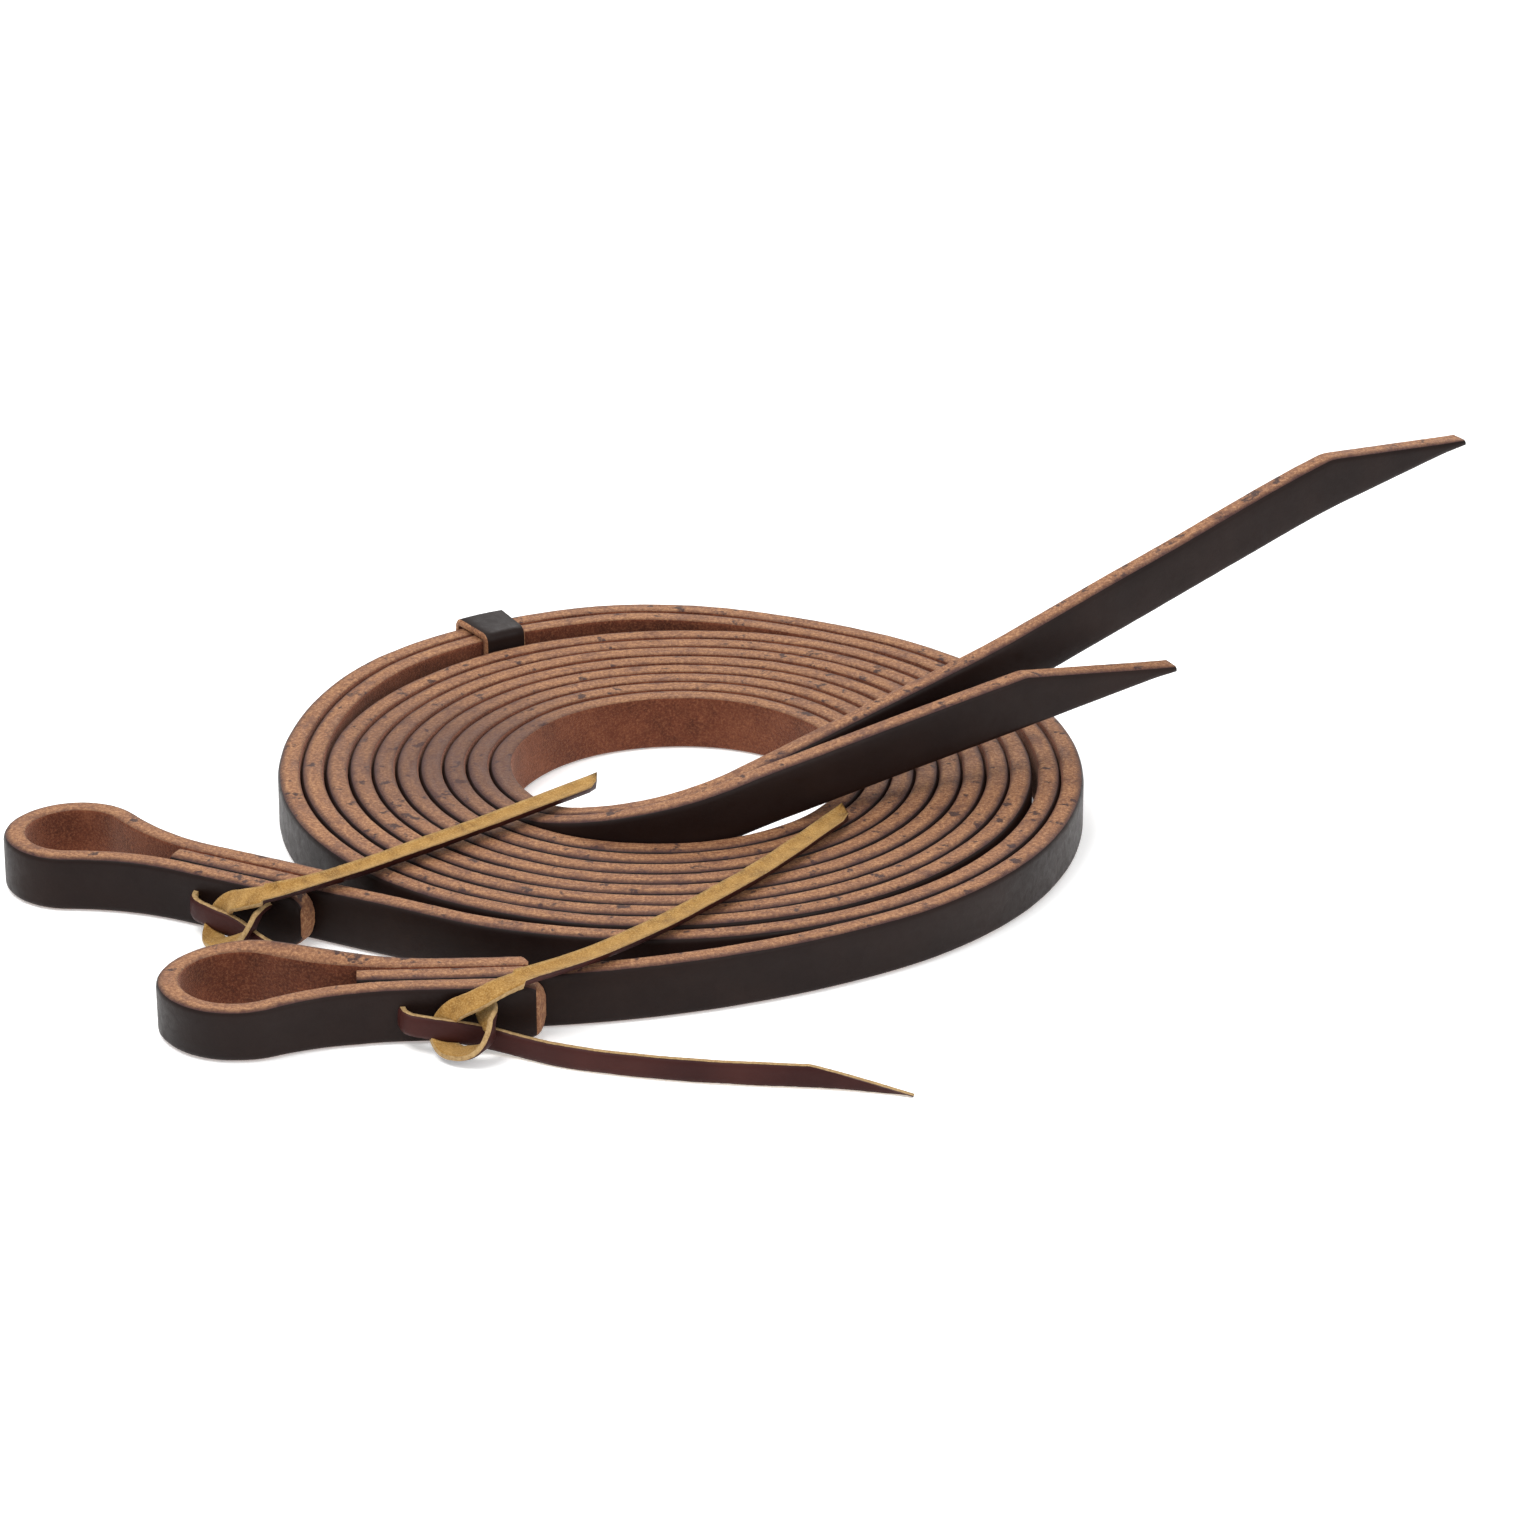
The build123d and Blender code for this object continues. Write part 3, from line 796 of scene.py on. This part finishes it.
FAR_LACE = (
    ((-14.0, -15.0, 15.2), UP),
    ((-33.0, -33.0, 15.2), UP),
    ((-54.0, -50.0, 14.1), UP),
    ((-68.0, -62.5, 14.1), UP),
    ((-80.5, -71.0, 14.2), (-0.1, -0.3, 1)),
    ((-90.0, -70.0, 11.8), (-0.3, -0.6, 1)),
    ((-94.5, -65.2, 8.9), (-0.6, -1, 0.4)),
    ((-97.5, -64.0, 2.8), (0.2, -1, 0.5)),
    ((-97.5, -70.4, 1.4), (0, -0.1, 1)),
    ((-92.0, -74.8, 3.2), (-0.75, 0.1, 0.65)),
    ((-88.0, -73.6, 7.4), (-0.85, 0.3, 0.3)),
    ((-87.0, -67.0, 8.4), (-0.6, 0.3, 0.8)),
    ((-82.5, -59.5, 6.4), (-0.9, 0.45, 0)),
    ((-78.0, -50.0, 6.5), (-0.9, -0.8, 0)),
    ((-85.5, -45.0, 6.7), (-0.45, -0.9, 0)),
    ((-94.0, -42.0, 6.3), (0, -1, 0)),
    ((-98.5, -51.5, 6.5), (0.9, -0.45, 0)),
    ((-103.5, -60.5, 6.1), (0.9, 0.6, 0)),
    ((-98.5, -65.8, 5.8), (0.45, 0.9, 0)),
    ((-93.0, -68.6, 4.8), (0.45, 0.9, 0)),
    ((-88.8, -72.4, 3.2), (0.45, 0.9, 0)),
    ((-84.0, -77.6, 2.6), (0.45, 0.9, 0)),
    ((-74.5, -84.8, 2.6), (0.45, 0.9, 0)),
    ((-59.5, -90.8, 2.6), (0.4, 0.9, 0)),
    ((-44.0, -93.6, 2.6), (0.2, 0.9, 0)),
    ((-28.0, -96.0, 2.6), (0.2, 0.9, 0)),
)


def route_points(name, route):
    """Points along the NURBS curve that has the route as its control points."""
    curve = bpy.data.curves.new(name, "CURVE")
    curve.dimensions = "3D"
    spline = curve.splines.new("NURBS")
    spline.points.add(len(route) - 1)
    for target, (place, _) in zip(spline.points, route):
        target.co = (*(Vector(place) * MM), 1.0)
    spline.order_u = 3
    spline.use_endpoint_u = True
    spline.resolution_u = 16
    holder = bpy.data.objects.new(name, curve)
    bpy.context.collection.objects.link(holder)
    bpy.context.view_layer.update()
    mesh = bpy.data.meshes.new_from_object(holder)
    points = [v.co / MM for v in mesh.vertices]
    bpy.data.objects.remove(holder)
    bpy.data.meshes.remove(mesh)
    return points


def facing_at(route, share):
    place = share * (len(route) - 1)
    index = min(int(place), len(route) - 2)
    part = place - index
    return Vector(route[index][1]).normalized().lerp(Vector(route[index + 1][1]).normalized(), part)


def make_lace(name, node, route, long_end, seed):
    """A flat lace, slightly cupped towards its flesh side, with each end cut slanting."""
    points = route_points(name + "_route", route)
    lengths = running_lengths(points)
    last = len(points) - 1
    tip_tangent = (points[last] - points[last - 1]).normalized()
    lower_edge = -tip_tangent.cross(facing_at(route, 1.0)).z
    rings = []
    for i, point in enumerate(points):
        tangent = (points[min(i + 1, last)] - points[max(i - 1, 0)]).normalized()
        facing = facing_at(route, i / last)
        facing = (facing - tangent * facing.dot(tangent)).normalized()
        side = tangent.cross(facing)
        place = lengths[i]
        on_long_end = place < long_end
        half = LACE_WIDTH / 2 * (1 + unevenness(LACE_WIDTH_SWAY, place, seed, 0))
        curl = LONG_END_CUP if on_long_end else SHORT_END_CUP
        grain_rim = LONG_END_GRAIN_RIM if on_long_end else SHORT_END_GRAIN_RIM
        cup = curl * (1 + unevenness(LACE_CUP_SWAY, place, seed, 4))
        long_cut = min(place / LONG_END_CUT, 1.0)
        short_cut = min((lengths[-1] - place) / SHORT_END_CUT, 1.0)
        ring = []
        for layer in (1, -1):
            for j in range(LACE_COLUMNS):
                share = (2 * j / (LACE_COLUMNS - 1) - 1) * layer
                level = layer * LACE_THICKNESS / 2
                width = half * share
                if abs(share) > LACE_RIM_SHARE:
                    level = LACE_FLESH_RIM if layer > 0 else grain_rim
                    width *= LACE_RIM_WIDTH
                if lower_edge > 0:
                    width = max(width, half * (1 - 2 * short_cut))
                else:
                    width = min(width, half * (2 * short_cut - 1))
                width = max(width, half * (1 - 2 * long_cut))
                height = cup * share**2 + level
                fray = unevenness(LACE_FRAY, place, share * 5, seed)
                ring.append(point + side * (width + fray) + facing * (height + fray * 0.5))
        rings.append(ring)
    kinds = ["flesh"] * (LACE_COLUMNS - 1) + ["edge"] + ["grain"] * (LACE_COLUMNS - 1) + ["edge"]
    across = [0.5] * len(kinds)
    piece = skin(name, rings, kinds, across, lengths, lace_materials)
    keep_piece(piece, node, "coil")


# ---- keeper ----

def make_keeper():
    """A leather band round the outer pair, with soft outer corners and cut edges."""
    middle = coil_point(KEEPER_ANGLE, 0)
    heading = coil_heading(KEEPER_ANGLE, 0)
    radius = middle.length
    centre = middle + left_of(heading) * radius
    half_depth = STRAP_THICKNESS + LAYER_GAP / 2 + KEEPER_CLEARANCE
    height = STRAP_WIDTH + 2 * KEEPER_CLEARANCE
    corner_radius = 0.5
    loop = []
    for sign_a, sign_b, first in ((1, 1, 0), (-1, 1, 90), (-1, -1, 180), (1, -1, 270)):
        for i in range(7):
            turn = math.radians(first + 15 * i)
            direction = Vector((math.cos(turn), math.sin(turn)))
            corner = Vector((sign_a * (half_depth - corner_radius), sign_b * (height / 2 - corner_radius)))
            loop.append((corner + direction * corner_radius, direction))
    across = []
    half_length = KEEPER_LENGTH / 2
    lip = 0.45
    for c, w, kind in (
        (-half_length + lip, KEEPER_WALL, "grain"), (-half_length / 2, KEEPER_WALL + 0.05, "grain"),
        (0, KEEPER_WALL + 0.08, "grain"), (half_length / 2, KEEPER_WALL + 0.05, "grain"),
        (half_length - lip, KEEPER_WALL, "edge"), (half_length, KEEPER_WALL - lip, "edge"),
        (half_length, 0.2, "edge"), (half_length - 0.2, 0, "flesh"),
        (0, 0, "flesh"), (-half_length + 0.2, 0, "edge"),
        (-half_length, 0.2, "edge"), (-half_length, KEEPER_WALL - lip, "edge"),
    ):
        across.append((c, w, kind))
    rings = []
    for flat, direction in loop:
        ring = []
        for c, w, _ in across:
            turned = heading + math.degrees(c / radius)
            outward = -left_of(turned)
            reach = flat + direction * w
            point = centre + outward * (radius + reach.x)
            point.z = KEEPER_WALL + height / 2 + reach.y
            ring.append(point)
        rings.append(ring)
    kinds = [kind for _, _, kind in across]
    shares = [0.5] * len(kinds)
    lengths = running_lengths([r[0] for r in rings] + [rings[0][0]])
    piece = skin("keeper_band", rings, kinds, shares, lengths, keeper_materials, closed=True)
    keep_piece(piece, "keeper", "keeper")


# ---- putting it together ----

make_camera()
make_lace("near_tie_lace", "lace_near", NEAR_LACE, NEAR_LONG_END, seed=3.1)
make_lace("far_tie_lace", "lace_far", FAR_LACE, FAR_LONG_END, seed=7.7)
near_loop = water_loop_stations(
    near, NEAR_BIGHT_RADIUS, NEAR_BIGHT_DISTANCE, NEAR_FRONT_FLAP, NEAR_BACK_FLAP, NEAR_FLAP_SKIVE,
    NEAR_LOOP_LEAN, NEAR_LOOP_TWIST,
)
far_loop = water_loop_stations(
    far, FAR_BIGHT_RADIUS, FAR_BIGHT_DISTANCE, FAR_FRONT_FLAP, FAR_BACK_FLAP, FAR_FLAP_SKIVE
)
for name, node, stations, seed in (
    ("near_rein_strap", "rein_near", near.stations(), 11.3),
    ("far_rein_strap", "rein_far", far.stations(), 23.9),
    ("near_loop_strap", "water_loop_near", near_loop, 31.7),
    ("far_loop_strap", "water_loop_far", far_loop, 47.1),
):
    keep_piece(sweep_strap(name, stations, seed), node, "coil")
make_keeper()
make_studio()
